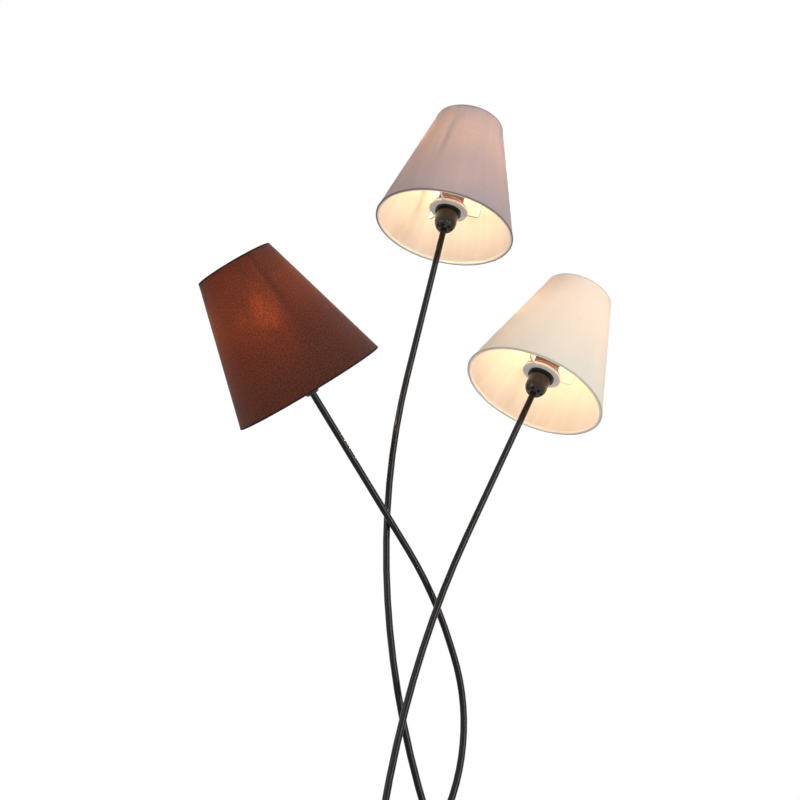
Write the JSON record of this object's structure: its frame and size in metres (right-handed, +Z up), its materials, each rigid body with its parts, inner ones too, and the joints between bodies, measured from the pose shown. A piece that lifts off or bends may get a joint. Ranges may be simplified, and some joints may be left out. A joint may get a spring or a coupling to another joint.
{
  "type": "tree floor lamp",
  "caption": "Floor lamp whose bent tubes cross above a round weighted base, each ending in a tilted tapered fabric shade over a small-screw bulb.",
  "frame": {"origin": "centre of the base's underside, on the floor", "axes": "+Z up the stand, +X towards the side of the cream shade, +Y to the back, away from the viewer"},
  "size_m": [0.4442, 0.3, 1.5999],
  "materials": {
    "black_painted_steel": "satin black",
    "cast_weight": "rough casting",
    "felt": "black felt",
    "zinc_steel": "zinc plated",
    "brass": "bright",
    "black_moulding": "dark moulded resin",
    "pale_moulding": "moulded",
    "white_painted_steel": "satin white",
    "flex_sheath": "matt sheath",
    "black_rubber": "matt",
    "opal_glass": "frosted warm white",
    "grey_fabric": "fine woven, translucent",
    "brown_fabric": "coarse woven, translucent",
    "cream_fabric": "fine woven, translucent"
  },
  "bodies": {
    "stand": {"felt_pad": "felt", "base_weight": "cast_weight", "base_cover": "black_painted_steel", "cord_inlet_bush": "black_rubber", "base_hub": "black_painted_steel", "hub_plate": "zinc_steel", "base_screws": "zinc_steel", "tube_set_screws": "zinc_steel", "terminal_block": "pale_moulding", "terminal_screws": "brass", "grey_tube": "black_painted_steel", "grey_flex": "flex_sheath", "grey_tube_nipple": "brass", "grey_holder_cap": "black_moulding", "grey_cap_grub_screw": "zinc_steel", "grey_holder_skirt": "black_moulding", "grey_holder_insert": "pale_moulding", "grey_contacts": "brass", "grey_thread_shell": "brass", "brown_tube": "black_painted_steel", "brown_flex": "flex_sheath", "brown_tube_nipple": "brass", "brown_holder_cap": "black_moulding", "brown_cap_grub_screw": "zinc_steel", "brown_holder_skirt": "black_moulding", "brown_holder_insert": "pale_moulding", "brown_contacts": "brass", "brown_thread_shell": "brass", "cream_tube": "black_painted_steel", "cream_flex": "flex_sheath", "cream_tube_nipple": "brass", "cream_holder_cap": "black_moulding", "cream_cap_grub_screw": "zinc_steel", "cream_holder_skirt": "black_moulding", "cream_holder_insert": "pale_moulding", "cream_contacts": "brass", "cream_thread_shell": "brass"},
    "grey_shade_body": {"grey_shade_carrier": "white_painted_steel", "grey_rim_wires": "white_painted_steel", "grey_shade": "grey_fabric"},
    "grey_nut_body": {"grey_ring_nut": "black_moulding"},
    "grey_bulb_lift_body": {"grey_bulb_tip": "brass"},
    "grey_bulb_body": {"grey_bulb_cap": "zinc_steel", "grey_bulb_glass": "opal_glass"},
    "brown_shade_body": {"brown_shade_carrier": "white_painted_steel", "brown_rim_wires": "white_painted_steel", "brown_shade": "brown_fabric"},
    "brown_nut_body": {"brown_ring_nut": "black_moulding"},
    "brown_bulb_lift_body": {"brown_bulb_tip": "brass"},
    "brown_bulb_body": {"brown_bulb_cap": "zinc_steel", "brown_bulb_glass": "opal_glass"},
    "cream_shade_body": {"cream_shade_carrier": "white_painted_steel", "cream_rim_wires": "white_painted_steel", "cream_shade": "cream_fabric"},
    "cream_nut_body": {"cream_ring_nut": "black_moulding"},
    "cream_bulb_lift_body": {"cream_bulb_tip": "brass"},
    "cream_bulb_body": {"cream_bulb_cap": "zinc_steel", "cream_bulb_glass": "opal_glass"}
  },
  "joints": [
    {"name": "grey_shade_turn", "type": "hinge", "parent": "stand", "child": "grey_shade_body", "pos_m": [0.02387, 0.00956, 1.45095], "axis": [0.2275, 0.0525, 0.9724], "continuous": true},
    {"name": "grey_ring_nut_turn", "type": "hinge", "parent": "stand", "child": "grey_nut_body", "pos_m": [0.02387, 0.00956, 1.45095], "axis": [0.2275, 0.0525, 0.9724], "range_deg": [0, 720]},
    {"name": "grey_bulb_lift", "type": "slide", "parent": "stand", "child": "grey_bulb_lift_body", "axis": [0.2275, 0.0525, 0.9724], "range_m": [0, 0.0114]},
    {"name": "grey_bulb_turn", "type": "hinge", "parent": "grey_bulb_lift_body", "child": "grey_bulb_body", "pos_m": [0.02387, 0.00956, 1.45095], "axis": [0.2275, 0.0525, 0.9724], "range_deg": [0, 1440]},
    {"name": "brown_shade_turn", "type": "hinge", "parent": "stand", "child": "brown_shade_body", "pos_m": [-0.1163, -0.06969, 1.23548], "axis": [-0.5099, -0.3571, 0.7826], "continuous": true},
    {"name": "brown_ring_nut_turn", "type": "hinge", "parent": "stand", "child": "brown_nut_body", "pos_m": [-0.1163, -0.06969, 1.23548], "axis": [-0.5099, -0.3571, 0.7826], "range_deg": [0, 720]},
    {"name": "brown_bulb_lift", "type": "slide", "parent": "stand", "child": "brown_bulb_lift_body", "axis": [-0.5099, -0.3571, 0.7826], "range_m": [0, 0.0114]},
    {"name": "brown_bulb_turn", "type": "hinge", "parent": "brown_bulb_lift_body", "child": "brown_bulb_body", "pos_m": [-0.1163, -0.06969, 1.23548], "axis": [-0.5099, -0.3571, 0.7826], "range_deg": [0, 1440]},
    {"name": "cream_shade_turn", "type": "hinge", "parent": "stand", "child": "cream_shade_body", "pos_m": [0.12245, 0.03943, 1.26465], "axis": [0.4266, 0.1767, 0.887], "continuous": true},
    {"name": "cream_ring_nut_turn", "type": "hinge", "parent": "stand", "child": "cream_nut_body", "pos_m": [0.12245, 0.03943, 1.26465], "axis": [0.4266, 0.1767, 0.887], "range_deg": [0, 720]},
    {"name": "cream_bulb_lift", "type": "slide", "parent": "stand", "child": "cream_bulb_lift_body", "axis": [0.4266, 0.1767, 0.887], "range_m": [0, 0.0114]},
    {"name": "cream_bulb_turn", "type": "hinge", "parent": "cream_bulb_lift_body", "child": "cream_bulb_body", "pos_m": [0.12245, 0.03943, 1.26465], "axis": [0.4266, 0.1767, 0.887], "range_deg": [0, 1440]}
  ],
  "couplings": [
    {"joint": "grey_bulb_lift", "follows": "grey_bulb_turn", "m_per_rad": 0.00044882},
    {"joint": "brown_bulb_lift", "follows": "brown_bulb_turn", "m_per_rad": 0.00044882},
    {"joint": "cream_bulb_lift", "follows": "cream_bulb_turn", "m_per_rad": 0.00044882}
  ]
}
